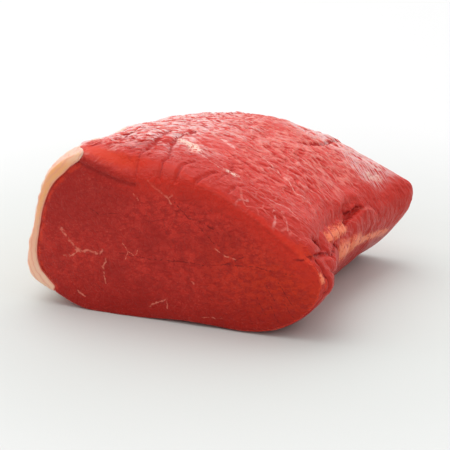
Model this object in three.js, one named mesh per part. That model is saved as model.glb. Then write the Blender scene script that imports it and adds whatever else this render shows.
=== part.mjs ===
// A raw beef roasting joint: one block of lean muscle with a flat cut at each end, and the
// cap of fat along its left side, each a closed solid. Units are millimetres, +Z is up, and
// the origin lies under the middle of the joint, on the surface that it rests on.
// -Y is the front cut, +Y the back cut, and -X the side with the fat.
import * as THREE from "three";
import { mergeVertices } from "three/addons/utils/BufferGeometryUtils.js";

// Driving dimensions of the joint.
const LENGTH = 142; // from the front cut to the back cut
const RIM_TOP = 5; // rounding of a cut's edge along the top and the right side
const RIM_SIDE = 1.6; // rounding of a cut's edge along the fat and below
const RIM_RUN = 9; // length along the joint that the rounding takes up
const CUT_DOME = 1.2; // how far the middle of a cut stands proud of its edge

// The outline of a section, clockwise as seen from the front, from the left end of the flat
// underside. Each anchor has its place [x, z] on the front cut, halfway and on the back cut.
const OUTLINE = [
  { name: "flat_left", front: [-50, 0], half: [-48, 0], back: [-42, 0] },
  { name: "heel", front: [-77.5, 6.5], half: [-76, 5], back: [-66, 5.5] },
  { name: "keel", front: [-93.5, 15], half: [-91, 14], back: [-80, 12.5] },
  { name: "cheek", front: [-95.8, 29], half: [-94, 27], back: [-84, 24] },
  { name: "side", front: [-90, 52], half: [-90, 47], back: [-81, 42] },
  { name: "shoulder", front: [-82.5, 77.5], half: [-80, 70], back: [-72, 61] },
  { name: "crown", front: [-63, 93], half: [-58, 88], back: [-50, 76] },
  { name: "brow", front: [-10, 91], half: [-8, 89], back: [2, 82.5] },
  { name: "slope", front: [45, 67], half: [38, 74], back: [40, 74] },
  { name: "brink", front: [68, 53.5], half: [62, 56], back: [68, 62] },
  { name: "nose", front: [79, 34], half: [72, 35], back: [92.5, 47.5] },
  { name: "chin", front: [69.5, 14], half: [65.5, 17], back: [85.5, 24.5] },
  { name: "flat_right", front: [49, 4.2], half: [45, 0], back: [56, 3.5] },
];
const ANCHOR = Object.fromEntries(OUTLINE.map(({ name }, i) => [name, i]));
const UNDERSIDE_DIP = 2.5; // the spline runs this far below the flat, which cuts it off

// The cap of fat: its edges, as places between two anchors of the outline, and its
// thickness at evenly spaced places from the lower edge to the upper one.
const FAT_FROM = ANCHOR.heel + 0.1;
const FAT_TO = ANCHOR.crown - 0.06;
const FAT_THICKNESS = [2.8, 7.4, 8.1, 6.6, 4.9, 3.9, 5, 6.2, 3.4];
const FIT_GAP = 0.3; // space between the fat and the lean
const EDGE_GAP = 0.5; // the same at the fat's lower and upper edges

// The seam on the right side, where a strip of side muscle meets the main one. Its depth
// follows its cleft, the deepest stretch, and each end fades out.
const SEAM = {
  place: ANCHOR.brink + 0.35,
  width: 6.5,
  depth: 3.2,
  from: -75,
  to: 34,
  fade: 22,
};
const CLEFT = { y: 9, reach: 13, depth: 4.5 };

// The lobe of the right side, which bulges a little way behind the front cut.
const LOBE = { y: -50, reach: 20, height: 4 };

// Slow unevenness of the muscle: [height, wavelength along X, along Y, along Z, start].
const WAVES = [
  [1.1, 74, 53, 91, 0.4],
  [0.8, 47, 38, 44, 2.1],
  [0.5, 29, 23, 31, 4.4],
];

// Steps of the mesh.
const FAT_STEPS = 19;
const LEAN_STEPS = 43;
const STATIONS = 26;
const CAP_RINGS = [0.75, 0.45, 0.18];

const clamp = THREE.MathUtils.clamp;
const smooth = THREE.MathUtils.smoothstep;
const lerp = THREE.MathUtils.lerp;

/** A bell curve of height 1 that is centred on 0 and falls off over `reach`. */
const bell = (distance, reach) => Math.exp(-((distance / reach) ** 2));

/** 0 on a cut, rising to 1 over `run` from either cut, with a round start. */
function awayFromCuts(y, run) {
  const depth = clamp((LENGTH / 2 - Math.abs(y)) / run, 0, 1);
  return Math.sqrt(1 - (1 - depth) ** 2);
}

/** The slow unevenness of the muscle at a point, in millimetres. */
function unevenness(x, y, z) {
  return WAVES.reduce(
    (sum, [height, alongX, alongY, alongZ, start]) =>
      sum +
      height *
        Math.sin((2 * Math.PI * x) / alongX + start) *
        Math.cos((2 * Math.PI * y) / alongY + 2 * start) *
        Math.cos((2 * Math.PI * z) / alongZ - start),
    0,
  );
}

/** The smooth closed curve through the anchors at a place y along the joint. */
function sectionCurve(y) {
  // The parabola through the anchor's three places, -1 the front, 0 half, 1 the back.
  const share = (2 * y) / LENGTH;
  const between = ({ front, half, back }, axis) =>
    half[axis] +
    ((back[axis] - front[axis]) / 2) * share +
    ((back[axis] + front[axis]) / 2 - half[axis]) * share ** 2;
  const last = OUTLINE.length - 1;
  const points = OUTLINE.map((anchor, i) => {
    const dip = i === 0 || i === last ? UNDERSIDE_DIP : 0;
    return new THREE.Vector3(between(anchor, 0), 0, between(anchor, 1) - dip);
  });
  return new THREE.CatmullRomCurve3(points, true, "centripetal");
}

/** How far the skin of the joint stands out from the section curve, along its normal. */
function standOut(point, normal, y, seamPoint) {
  const right = clamp(normal.x, 0, 1);
  const rim = lerp(RIM_SIDE, RIM_TOP, clamp(Math.max(normal.z, right), 0, 1));
  const rounding = rim * (awayFromCuts(y, RIM_RUN) - 1);
  const fade =
    smooth(y, SEAM.from, SEAM.from + SEAM.fade) *
    (1 - smooth(y, SEAM.to - SEAM.fade, SEAM.to));
  const depth =
    SEAM.depth * fade + CLEFT.depth * bell(y - CLEFT.y, CLEFT.reach);
  const groove = depth * bell(point.distanceTo(seamPoint), SEAM.width);
  const lobe = LOBE.height * right * bell(y - LOBE.y, LOBE.reach);
  return rounding - groove + lobe + unevenness(point.x, y, point.z);
}

/** A point and its outward normal on the skin, `place` anchors round the outline. */
function skinPoint(curve, seamPoint, place, y) {
  const count = OUTLINE.length;
  const t = (((place % count) + count) % count) / count;
  const point = curve.getPoint(t);
  const tangent = curve.getTangent(t);
  const normal = new THREE.Vector3(-tangent.z, 0, tangent.x).normalize();
  point.addScaledVector(normal, standOut(point, normal, y, seamPoint));
  point.y = y;
  return { point, normal };
}

/** The fat's thickness at a share of the way from its lower to its upper edge. */
function fatThickness(share, y) {
  const waver = 1 + 0.12 * Math.sin(y / 17 + 5 * share);
  const at = clamp(share, 0, 1) * (FAT_THICKNESS.length - 1);
  const i = Math.min(Math.floor(at), FAT_THICKNESS.length - 2);
  return waver * lerp(FAT_THICKNESS[i], FAT_THICKNESS[i + 1], at - i);
}

/** A point moved inwards along its normal, but not below the flat underside. */
function inset({ point, normal }, distance) {
  const moved = point.clone().addScaledVector(normal, -distance);
  moved.z = Math.max(moved.z, 0);
  return moved;
}

/** One section of the joint: the closed outline of the lean and that of the fat. */
function section(y) {
  const curve = sectionCurve(y);
  const seamPoint = curve.getPoint(SEAM.place / OUTLINE.length);
  const skin = (place) => skinPoint(curve, seamPoint, place, y);
  const fatPlace = (i) => lerp(FAT_FROM, FAT_TO, i / FAT_STEPS);

  const outer = [];
  const inner = [];
  const bed = [];
  for (let i = 0; i <= FAT_STEPS; i++) {
    const at = skin(fatPlace(i));
    const thickness = fatThickness(i / FAT_STEPS, y);
    outer.push(inset(at, 0));
    inner.push(inset(at, thickness));
    bed.push(inset(at, thickness + FIT_GAP));
  }
  const fat = [...outer, ...inner.reverse()];

  // The step at each edge of the fat's bed, EDGE_GAP beyond the fat itself.
  const perAnchor = curve.getLength() / OUTLINE.length;
  const shift = EDGE_GAP / perAnchor;
  const lowerEdge = skin(FAT_FROM - shift);
  const upperEdge = skin(FAT_TO + shift);
  const lowerFloor = inset(lowerEdge, fatThickness(0, y) + FIT_GAP);
  const upperFloor = inset(upperEdge, fatThickness(1, y) + FIT_GAP);

  const lean = [inset(lowerEdge, 0), lowerFloor, ...bed, upperFloor];
  const start = FAT_TO + shift;
  const end = FAT_FROM - shift + OUTLINE.length;
  for (let i = 0; i < LEAN_STEPS; i++) {
    lean.push(inset(skin(lerp(start, end, i / LEAN_STEPS)), 0));
  }
  return { lean, fat };
}

/** The places of the sections, closer together near the two cuts. */
function stations() {
  const places = [];
  for (let i = 0; i <= STATIONS; i++) {
    places.push((-LENGTH / 2) * Math.cos((Math.PI * i) / STATIONS));
  }
  return places;
}

/** Rings of a cut, from its outline to its middle, which stands a little proud. */
function capRings(outline, outwards) {
  const middle = new THREE.Vector3();
  outline.forEach((p) => middle.addScaledVector(p, 1 / outline.length));
  const rings = CAP_RINGS.map((size) =>
    outline.map((p) => {
      const q = middle.clone().lerp(p, size);
      q.y += outwards * CUT_DOME * (1 - size ** 2);
      return q;
    }),
  );
  middle.y += outwards * CUT_DOME;
  return { rings, middle };
}

/** A closed geometry from rings of points, in order along the joint, and its two ends. */
function loft(rings, endAtFront, endAtBack) {
  const around = rings[0].length;
  const points = rings.flat();
  const positions = points.flatMap((p) => p.toArray());
  const faces = [];
  for (let r = 0; r + 1 < rings.length; r++) {
    for (let i = 0; i < around; i++) {
      const a = r * around + i;
      const b = r * around + ((i + 1) % around);
      const c = b + around;
      const d = a + around;
      // The diagonal that rises towards the back, so that facing walls are cut alike.
      const risesFromA = points[a].z < points[b].z;
      faces.push(...(risesFromA ? [a, b, c, a, c, d] : [a, b, d, b, c, d]));
    }
  }
  endAtFront(positions, faces, 0, around);
  endAtBack(positions, faces, (rings.length - 1) * around, around);
  const geometry = new THREE.BufferGeometry();
  geometry.setAttribute(
    "position",
    new THREE.Float32BufferAttribute(positions, 3),
  );
  geometry.setIndex(faces);
  return mergeVertices(geometry, 1e-4);
}

/** Closes a ring with a fan to one point in its middle. */
function fanEnd(middle, towardsFront) {
  return (positions, faces, first, around) => {
    const hub = positions.length / 3;
    positions.push(...middle.toArray());
    for (let i = 0; i < around; i++) {
      const a = first + i;
      const b = first + ((i + 1) % around);
      faces.push(...(towardsFront ? [b, a, hub] : [a, b, hub]));
    }
  };
}

/** Closes a ring that runs out along one edge and back along the other with a strip. */
function stripEnd(towardsFront) {
  return (positions, faces, first, around) => {
    for (let i = 0; i < around / 2 - 1; i++) {
      const a = first + i;
      const d = first + around - 1 - i;
      const strip = [a, a + 1, d, a + 1, d - 1, d];
      faces.push(...(towardsFront ? strip.reverse() : strip));
    }
  };
}

/** The lean muscle, with a slightly domed cut at each end. */
function leanGeometry(sections) {
  const outlines = sections.map(({ lean }) => lean);
  const front = capRings(outlines[0], -1);
  const back = capRings(outlines[outlines.length - 1], 1);
  const rings = [...front.rings.reverse(), ...outlines, ...back.rings];
  return loft(rings, fanEnd(front.middle, true), fanEnd(back.middle, false));
}

/** The cap of fat, which runs along the whole left side. */
function fatGeometry(sections) {
  const outlines = sections.map(({ fat }) => fat);
  return loft(outlines, stripEnd(true), stripEnd(false));
}

/** A named piece of the joint. */
function piece(name, geometry, material) {
  geometry.computeVertexNormals();
  const mesh = new THREE.Mesh(geometry, material);
  mesh.name = name;
  return mesh;
}

const leanMeat = new THREE.MeshStandardMaterial({
  color: 0xb5342b,
  roughness: 0.38,
  metalness: 0,
});
const beefFat = new THREE.MeshStandardMaterial({
  color: 0xf0c9a4,
  roughness: 0.45,
  metalness: 0,
});

const sections = stations().map(section);
const joint = new THREE.Group();
joint.add(piece("lean", leanGeometry(sections), leanMeat));
joint.add(piece("fat_cap", fatGeometry(sections), beefFat));

// The origin goes under the middle of the joint, on its flat underside.
const bounds = new THREE.Box3().setFromObject(joint);
const centre = bounds.getCenter(new THREE.Vector3());
joint.position.set(-centre.x, -centre.y, -bounds.min.z);

export default joint;
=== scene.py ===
"""A raw beef roasting joint on a pale floor: the lean muscle and its cap of fat.

Sizes and places are in millimetres in the joint's own frame, where -Y is the front cut, +Y
the back cut, -X the side with the fat and +Z is up, and become metres as the meshes are made.
"""
import logging
import math
from collections.abc import Callable
from dataclasses import dataclass
from enum import Enum
from functools import reduce
from operator import and_, or_

import bpy
import numpy as np
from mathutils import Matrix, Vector, noise
from mathutils.bvhtree import BVHTree


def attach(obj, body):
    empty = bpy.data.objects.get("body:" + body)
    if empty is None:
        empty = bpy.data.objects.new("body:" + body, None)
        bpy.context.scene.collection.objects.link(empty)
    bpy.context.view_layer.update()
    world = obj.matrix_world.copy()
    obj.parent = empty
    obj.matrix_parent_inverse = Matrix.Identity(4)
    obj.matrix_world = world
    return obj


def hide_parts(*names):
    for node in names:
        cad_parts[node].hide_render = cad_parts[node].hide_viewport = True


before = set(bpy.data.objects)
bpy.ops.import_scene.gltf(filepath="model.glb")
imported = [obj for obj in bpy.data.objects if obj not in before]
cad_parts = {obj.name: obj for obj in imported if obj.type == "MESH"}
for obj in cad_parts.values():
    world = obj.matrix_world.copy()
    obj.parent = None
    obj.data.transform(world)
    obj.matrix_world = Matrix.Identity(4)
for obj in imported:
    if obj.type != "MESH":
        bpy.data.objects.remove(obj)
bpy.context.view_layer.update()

LOG = logging.getLogger("roasting_joint")
MM = 0.001  # metres in a millimetre
SLANT = 0.8  # how far back the fibres run for each millimetre across the left shoulder
SLANT_FROM = -20.0  # the place in X where they start to
TOP_FROM = (50.0, 60.0)  # the heights between which the sides give way to the top
GROUP_STEPS = 40  # how finely the weights of a vertex group are told apart

Piece = bpy.types.Object
Socket = bpy.types.NodeSocket
Array = np.ndarray
Place = tuple[float, float]
Size = tuple[float, float, float]
Colour = tuple[float, float, float]


# ---------------------------------------------------------------- lines on the surface


class Side(Enum):
    """The sides that lines are drawn on, each with the two axes that show on it."""

    CUT = (0, 2)
    TOP = (0, 1)
    FLANK = (1, 2)


@dataclass(frozen=True)
class Trace:
    """A line on one side of the joint, through places given along that side's axes.

    It has a full width, it is pressed in by its depth, or raised where that is negative, and
    its shade says how strongly its colour shows.
    """

    width: float
    places: tuple[Place, ...]
    depth: float = 0.0
    shade: float = 1.0

    def distance(self, points: Array) -> Array:
        """Measures how far points lie from the line.

        Args:
            points: Flat places, one row each.

        Returns:
            The distance of each point.
        """
        spans = []
        for start, end in zip(self.places, self.places[1:]):
            first, along = np.array(start), np.array(end) - np.array(start)
            share = np.clip((points - first) @ along / (along @ along), 0.0, 1.0)
            spans.append(np.linalg.norm(points - first - share[:, None] * along, axis=1))
        return np.min(spans, axis=0)


@dataclass(frozen=True)
class Lump:
    """A rounded swelling of the flank: its place in Y and Z, its reach and its height."""

    place: Place
    reach: float
    height: float


@dataclass(frozen=True)
class Lip:
    """The rounded upper edge of a cut.

    It has the cut's direction along Y, how far it rolls back, and its lower edge in X and Z.
    """

    end: float
    roll: float
    edge: tuple[Place, ...]

    def above(self, places: Array) -> Array:
        """Measures how far places lie above the lower edge, square to it.

        Args:
            places: The places.

        Returns:
            The distances, negative below the edge.
        """
        across, up = np.array(self.edge).T
        middles, slopes = (across[1:] + across[:-1]) / 2, np.diff(up) / np.diff(across)
        height = np.interp(places[:, 0], across, up)
        slope = np.interp(places[:, 0], middles, slopes)
        return (places[:, 2] - height) / np.sqrt(1.0 + slope**2)


MARBLING = (
    Trace(1.6, ((-70, 46), (-65, 40), (-60, 35))),
    Trace(1.0, ((-60, 35), (-64, 32), (-69, 31))),
    Trace(1.4, ((-60, 35), (-54, 36), (-47, 35), (-45, 38))),
    Trace(1.0, ((-43, 33), (-45, 28), (-44, 18))),
    Trace(1.1, ((-18, 80), (-12, 76), (-6, 72), (-4, 69))),
    Trace(1.0, ((-6, 72), (-3, 75))),
    Trace(0.9, ((-26, 72), (-23, 69))),
    Trace(0.6, ((-33, 43), (-30, 39), (-31, 34))),
    Trace(0.5, ((-30, 39), (-26, 37), (-24, 40))),
    Trace(0.7, ((21, 47), (25, 44), (33, 42))),
    Trace(0.9, ((-18, 8), (-13, 11), (-7, 14), (-7, 8))),
    Trace(0.6, ((13, 6), (25, 7))),
    Trace(1.1, ((-61, 11), (-57, 8))),
    Trace(1.0, ((8, 26), (9, 25))),
    Trace(2.6, ((-70, 46), (-69, 45))),
    Trace(2.4, ((-61, 36), (-59, 35))),
)

FINE_CRACKS = (
    Trace(0.7, ((-35, 37), (-17, 36), (6, 37), (18, 36), (28, 39), (38, 44))),
    Trace(0.6, ((28, 39), (46, 39), (68, 37))),
    Trace(0.6, ((13, 57), (20, 50), (26, 48))),
    Trace(0.6, ((-2, 70), (6, 62), (14, 61), (24, 55))),
    Trace(0.6, ((-54, 61), (-46, 58), (-36, 60))),
    Trace(0.5, ((50, 30), (55, 21))),
    Trace(0.6, ((57, 32), (63, 23), (65, 19))),
    Trace(0.5, ((45, 22), (50, 12))),
    Trace(0.6, ((52, 19), (57, 9))),
    Trace(0.5, ((60, 20), (66, 12))),
    Trace(0.5, ((39, 15), (42, 6))),
)

CUT_CREASES = (
    Trace(2.6, ((-60, 86.5), (-52, 83.5), (-45, 81), (-35, 78), (-26, 77)), depth=1.1),
)

TOP_CREASES = (
    Trace(1.3, ((-25, -60), (-26, -66), (-25, -72)), depth=0.6, shade=0.7),
    Trace(1.3, ((-9, -58), (-12, -64), (-11, -72)), depth=0.9),
    Trace(1.5, ((3, -56), (-1, -62), (-2, -72)), depth=1.1),
    Trace(1.5, ((17, -57), (13, -64), (9, -70)), depth=1.1),
    Trace(1.2, ((34, -52), (29, -60), (27, -67)), depth=0.7, shade=0.7),
    Trace(2.4, ((-28, -14), (-27, -30), (-24, -46), (-25, -60)), depth=1.1, shade=0.85),
    Trace(2.2, ((-17, -4), (-19, -22), (-16, -40), (-11, -58)), depth=1.0, shade=0.85),
    Trace(2.0, ((-44, -14), (-46, -34), (-47, -56)), depth=0.9, shade=0.85),
    Trace(1.6, ((33, 34), (38, 41), (43, 49), (47, 64)), depth=1.2),
    Trace(1.2, ((18, -36), (21, -52), (19, -64)), depth=0.4, shade=0.6),
)

FLANK_CREASES = (
    Trace(1.5, ((-2, 43.5), (4, 45), (10, 46.5), (19, 48)), depth=3.0),
    Trace(1.6, ((19, 48), (25, 48), (31, 46), (35, 41), (38, 34)), depth=0.5, shade=0.2),
    Trace(1.6, ((-57, 53), (-52, 50), (-48, 45)), depth=2.8),
    Trace(1.5, ((-72, 46), (-67, 48), (-60, 46), (-50, 44), (-45, 41)), depth=2.0),
    Trace(1.6, ((-66, 45), (-66, 38), (-65, 31), (-67, 22), (-69, 15)), depth=1.6),
    Trace(1.3, ((-44, 38), (-36, 40), (-30, 37)), depth=1.4),
    Trace(1.3, ((-30, 37), (-24, 40), (-20, 36), (-16, 29)), depth=1.5),
    Trace(1.2, ((-60, 38), (-52, 34), (-40, 27), (-24, 24)), depth=0.9, shade=0.5),
)

SILVER_STREAKS = (
    Trace(1.3, ((-2, -42), (6, -46), (15, -50))),
    Trace(1.0, ((27, -11), (36, -16), (45, -21), (51, -27), (60, -24))),
    Trace(2.6, ((-38, 8), (-24, 2), (-14, 1), (2, -9), (10, -15))),
    Trace(1.4, ((32, -70), (34, -67), (37, -65)), shade=0.6),
    Trace(1.6, ((50, -61), (52, -65), (53, -70)), shade=0.7),
    Trace(1.2, ((54, -58), (57, -61), (60, -66)), shade=0.5),
    Trace(0.9, ((40, -55), (47, -52), (54, -51), (62, -55)), shade=0.7),
    Trace(1.2, ((52, 52), (63, 54), (70, 53), (77, 57))),
    Trace(1.0, ((56, 59), (66, 61), (74, 60))),
)

TOP_FAT = (
    Trace(8.0, ((-14, -32), (-6, -35), (-2, -40))),
    Trace(6.0, ((20, -48), (22, -47))),
    Trace(4.5, ((72, 51), (77, 55))),
)

# The seam's cleft is closed up to a narrow slit.
SEAM_FILL = (Trace(9.0, ((0, 49), (20, 49.5)), depth=-6.2),)

# Pale fold edges and ribs on the flank, painted as highlights.
FLANK_EDGES = (
    Trace(1.3, ((17, 47), (24, 46.5), (29, 44.5), (33, 40), (36, 34))),
    Trace(0.8, ((-2, 40), (3, 38), (8, 34))),
    Trace(0.8, ((6, 44), (10, 40), (11, 35))),
    Trace(0.8, ((15, 43), (18, 38), (18, 33))),
    Trace(0.8, ((22, 43), (24, 38), (24, 33))),
    Trace(0.8, ((27, 41), (29, 37), (29, 32))),
)

FLANK_FAT = (
    Trace(5.5, ((-30, 45), (-20, 44), (-10, 43), (-2, 43))),
    Trace(12.0, ((-14, 32), (-3, 30), (11, 29.5))),
    Trace(6.0, ((8, 29), (22, 27), (36, 25.5), (54, 21.5))),
    Trace(4.0, ((-71, 39), (-70, 35))),
)

FLANK_LUMPS = (
    Lump((-40, 46), 6.0, 2.8),
    Lump((-51, 39), 6.5, 2.2),
    Lump((-36, 36), 6.0, 2.2),
    Lump((-64, 51), 5.0, 1.8),
    Lump((-60, 32), 8.0, 1.8),
    Lump((-25, 45), 4.5, 2.2),
    Lump((-17, 43), 4.5, 2.4),
    Lump((-8, 42), 4.5, 2.4),
    Lump((-7, 32), 8.0, 2.2),
    Lump((8, 31), 6.0, 1.8),
    Lump((16, 38), 10.0, 1.6),
    Lump((27, 38), 9.0, 1.4),
)

FRONT_LIP = Lip(
    end=-1.0,
    roll=4.5,
    edge=(
        (-66, 90), (-58, 86), (-45, 81.5), (-35, 78.5), (-26, 77.5), (-10, 79), (2, 79.5),
        (15, 77), (35, 68), (52, 56), (64, 47), (72, 40),
    ),
)
BACK_LIP = Lip(
    end=1.0, roll=3.5, edge=((-58, 74), (-30, 76), (2, 77), (40, 69), (68, 57), (88, 46))
)


# ---------------------------------------------------------------- modelling


class Area(Enum):
    """The areas of a piece that relief is kept to, by the names of their vertex groups."""

    OUTSIDE = "outside"
    CUTS = "cuts"
    SHOULDER = "shoulder"
    LIP = "lip_area"


class Roll(Enum):
    """How relief rises and falls: in soft waves, or in round folds with sharp creases."""

    WAVES = ("SOFT_NOISE", 0.5)
    FOLDS = ("HARD_NOISE", 0.35)


@dataclass(frozen=True)
class Relief:
    """A layer of relief: the length of its waves along each axis and its height."""

    name: str
    roll: Roll
    size: Size
    height: float
    area: Area
    layers: int
    shift: float

    def carve(self, piece: Piece) -> None:
        """Displaces a piece by this layer.

        Args:
            piece: The object that the relief goes on.
        """
        noise_type, middle = self.roll.value
        texture = bpy.data.textures.new(self.name, "CLOUDS")
        texture.noise_type = noise_type
        texture.noise_scale = 1.0
        texture.noise_depth = self.layers
        grain = bpy.data.objects.new(f"{self.name}_grain", None)
        bpy.context.scene.collection.objects.link(grain)
        grain.scale = [length * MM for length in self.size]
        grain.location = [self.shift * MM] * 3
        bpy.context.view_layer.update()
        apply_modifier(
            piece,
            "DISPLACE",
            texture=texture,
            texture_coords="OBJECT",
            texture_coords_object=grain,
            strength=self.height * MM,
            mid_level=middle,
            vertex_group=self.area.value,
        )
        bpy.data.objects.remove(grain)
        bpy.data.textures.remove(texture)


@dataclass(frozen=True)
class Wrinkles:
    """Short round folds with sharp creases between them, or soft dips with sharp crests.

    They run round the joint, and aslant over its left shoulder, or from cut to cut where
    lengthwise is true. Each strays from its line by up to about the bend.
    """

    length: float
    width: float
    height: float
    bend: float
    seed: float
    area: Area = Area.OUTSIDE
    lengthwise: bool = False
    crested: bool = False

    def rise(self, places: Array) -> Array:
        """Works out how far the folds stand out.

        Args:
            places: The places of the vertices.

        Returns:
            The rise at each vertex, in millimetres, below 0 in the creases.
        """
        long, short = self.length, self.width
        size = (short, long, long) if self.lengthwise else (long, short, long)
        bent = places.copy()
        axis = 0 if self.lengthwise else 1
        if not self.lengthwise:
            bent[:, 1] -= SLANT * np.minimum(places[:, 0] - SLANT_FROM, 0.0)
        for share, wave, shift in ((1.0, 22.0, 0.0), (0.3, 8.0, 31.0)):
            bent[:, axis] += share * self.bend * noise_at(places, (wave,) * 3, self.seed + shift)
        fold = np.minimum(3.0 * np.abs(noise_at(bent, size, self.seed + 57.0)), 1.0)
        return self.height * (0.45 - fold if self.crested else fold**0.7 - 0.6)


def noise_at(places: Array, size: Size, seed: float) -> Array:
    """Gives soft noise, from about -1 to 1, in waves of a size along each axis."""
    return np.array([noise.noise(point) for point in (places / size + seed).tolist()])


def smooth_step(value: Array, low: float, high: float) -> Array:
    """Rises smoothly from 0 at low to 1 at high; low may be the larger."""
    share = np.clip((value - low) / (high - low), 0.0, 1.0)
    return share * share * (3.0 - 2.0 * share)


def bell(distance: Array, reach: float) -> Array:
    """A bell curve of height 1 that falls off over reach."""
    return np.exp(-((distance / reach) ** 2))


def on_cuts(normals: Array) -> Array:
    """Tells vertices on the cuts, by 1, from those on the outside, by 0."""
    return smooth_step(np.abs(normals[:, 1]), 0.45, 0.9)


def select_only(piece: Piece) -> None:
    """Selects one object alone and makes it the active one.

    Args:
        piece: The object.
    """
    bpy.ops.object.select_all(action="DESELECT")
    piece.select_set(True)
    bpy.context.view_layer.objects.active = piece


def apply_modifier(piece: Piece, kind: str, **settings: object) -> None:
    """Adds a modifier to a piece and applies it.

    Args:
        piece: The object to change.
        kind: The modifier's type.
        settings: The modifier's properties by name.
    """
    select_only(piece)
    modifier = piece.modifiers.new(kind.lower(), kind)
    for name, value in settings.items():
        setattr(modifier, name, value)
    bpy.ops.object.modifier_apply(modifier=modifier.name)


def copy_solid(node: str, name: str) -> Piece:
    """Copies a solid, joins its loose triangles and rounds its facets off.

    Args:
        node: The solid's name.
        name: The new piece's name.

    Returns:
        The new piece, with its sharp edges kept sharp.
    """
    flat, sharp = math.radians(60), math.radians(45)
    piece = bpy.data.objects.new(name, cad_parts[node].data.copy())
    bpy.context.scene.collection.objects.link(piece)
    piece.data.materials.clear()
    select_only(piece)
    bpy.ops.object.mode_set(mode="EDIT")
    bpy.ops.mesh.select_all(action="SELECT")
    bpy.ops.mesh.remove_doubles(threshold=0.01 * MM)
    bpy.ops.mesh.normals_make_consistent(inside=False)
    bpy.ops.mesh.tris_convert_to_quads(face_threshold=flat, shape_threshold=flat)
    bpy.ops.mesh.select_all(action="DESELECT")
    bpy.ops.mesh.select_mode(type="EDGE")
    bpy.ops.mesh.edges_select_sharp(sharpness=sharp)
    bpy.ops.transform.edge_crease(value=1.0)
    bpy.ops.object.mode_set(mode="OBJECT")
    apply_modifier(piece, "SUBSURF", levels=2, render_levels=2)
    return piece


def stretch_along(piece: Piece, factor: float) -> None:
    """Stretches a piece along the joint, or shrinks it where the factor is below 1.

    Args:
        piece: The object to change.
        factor: How many times longer it becomes.
    """
    select_only(piece)
    bpy.ops.object.mode_set(mode="EDIT")
    bpy.ops.mesh.select_all(action="SELECT")
    bpy.ops.transform.resize(value=(1.0, factor, 1.0), center_override=(0.0, 0.0, 0.0))
    bpy.ops.object.mode_set(mode="OBJECT")


def read_mesh(piece: Piece) -> tuple[Array, Array]:
    """Reads a mesh's vertices.

    Args:
        piece: The object.

    Returns:
        Their places in millimetres and their normals, one row each.
    """
    places, normals = np.empty((2, len(piece.data.vertices) * 3))
    piece.data.vertices.foreach_get("co", places)
    piece.data.vertices.foreach_get("normal", normals)
    return places.reshape(-1, 3) / MM, normals.reshape(-1, 3)


def move_vertices(piece: Piece, places: Array) -> None:
    """Puts a mesh's vertices at places given in millimetres."""
    piece.data.vertices.foreach_set("co", (places * MM).ravel())
    piece.data.update()


def keep_value(piece: Piece, name: str, values: Array) -> None:
    """Keeps one number for each vertex as an attribute that materials can read."""
    attribute = piece.data.attributes.new(name, "FLOAT", "POINT")
    attribute.data.foreach_set("value", values.astype(np.float32))


def keep_group(piece: Piece, area: Area, weights: Array) -> None:
    """Makes the vertex group of an area.

    Args:
        piece: The object that gets the group.
        area: The area.
        weights: A weight from 0 to 1 for each vertex.
    """
    group = piece.vertex_groups.new(name=area.value)
    levels = np.round(weights * GROUP_STEPS).astype(int)
    for level in range(1, GROUP_STEPS + 1):
        members = np.flatnonzero(levels == level).tolist()
        if members:
            group.add(members, level / GROUP_STEPS, "REPLACE")


def press(places: Array, traces: tuple[Trace, ...], side: Side, share: Array) -> Array:
    """Works out how deep lines are pressed into the surface.

    Args:
        places: The places of the vertices.
        traces: The lines.
        side: The side that they are drawn on.
        share: How fully each vertex takes part, from 0 to 1.

    Returns:
        The depth at each vertex, in millimetres.
    """
    flat = places[:, side.value]
    depths = [
        trace.depth * bell(trace.distance(flat), trace.width * 0.8) for trace in traces
    ]
    return reduce(np.maximum, depths) * share


def gaps_to(node: str, places: Array) -> Array:
    """Measures how far places lie from a solid's surface.

    Args:
        node: The solid's name.
        places: The places.

    Returns:
        The distance of each, in millimetres.
    """
    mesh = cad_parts[node].data
    corners = [vertex.co for vertex in mesh.vertices]
    surface = BVHTree.FromPolygons(corners, [face.vertices for face in mesh.polygons])
    return np.array([surface.find_nearest(place)[3] for place in (places * MM).tolist()]) / MM


# ---------------------------------------------------------------- nodes


def reckoning(operation: str) -> Callable[..., "Field"]:
    """Makes the method for one of a field's operators.

    Args:
        operation: What the Math node does.

    Returns:
        The method, which takes the field and the numbers that go with it.
    """
    return lambda left, *right: left.graph.math(operation, left, *right)


class Field:
    """A number that varies over a surface: a node's output that can be reckoned with.

    The signs | and & give the larger and the smaller of two.
    """

    __add__ = reckoning("ADD")
    __sub__ = reckoning("SUBTRACT")
    __mul__ = reckoning("MULTIPLY")
    __truediv__ = reckoning("DIVIDE")
    __or__ = reckoning("MAXIMUM")
    __and__ = reckoning("MINIMUM")
    __abs__ = reckoning("ABSOLUTE")

    def __init__(self, graph: "Graph", socket: Socket) -> None:
        """Keeps the output and the graph that it belongs to."""
        self.graph, self.socket = graph, socket

    def __rsub__(self, number: float) -> "Field":
        """Subtracts the field from a number."""
        return self.graph.math("SUBTRACT", number, self)

    def rise(self, low: float, high: float, top: float = 1.0) -> "Field":
        """Rises smoothly from 0 at low to top at high; low may be the larger."""
        ends = {"Value": self, "From Min": low, "From Max": high, "To Max": top}
        return self.graph.number("MapRange", ends, interpolation_type="SMOOTHSTEP", clamp=False)

    def blend(self, first: Socket | Colour, second: Socket | Colour) -> Socket:
        """Blends two colours, by 0 for the first and by 1 for the second.

        Args:
            first: A colour.
            second: The other one.

        Returns:
            The blend's output.
        """
        share, first_colour, second_colour, mixed_colour = 0, 6, 7, 2
        inputs = {share: self, first_colour: first, second_colour: second}
        return self.graph.add("Mix", inputs, data_type="RGBA").outputs[mixed_colour]


Number = float | Field
Input = Number | Socket | tuple[float, ...]


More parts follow.
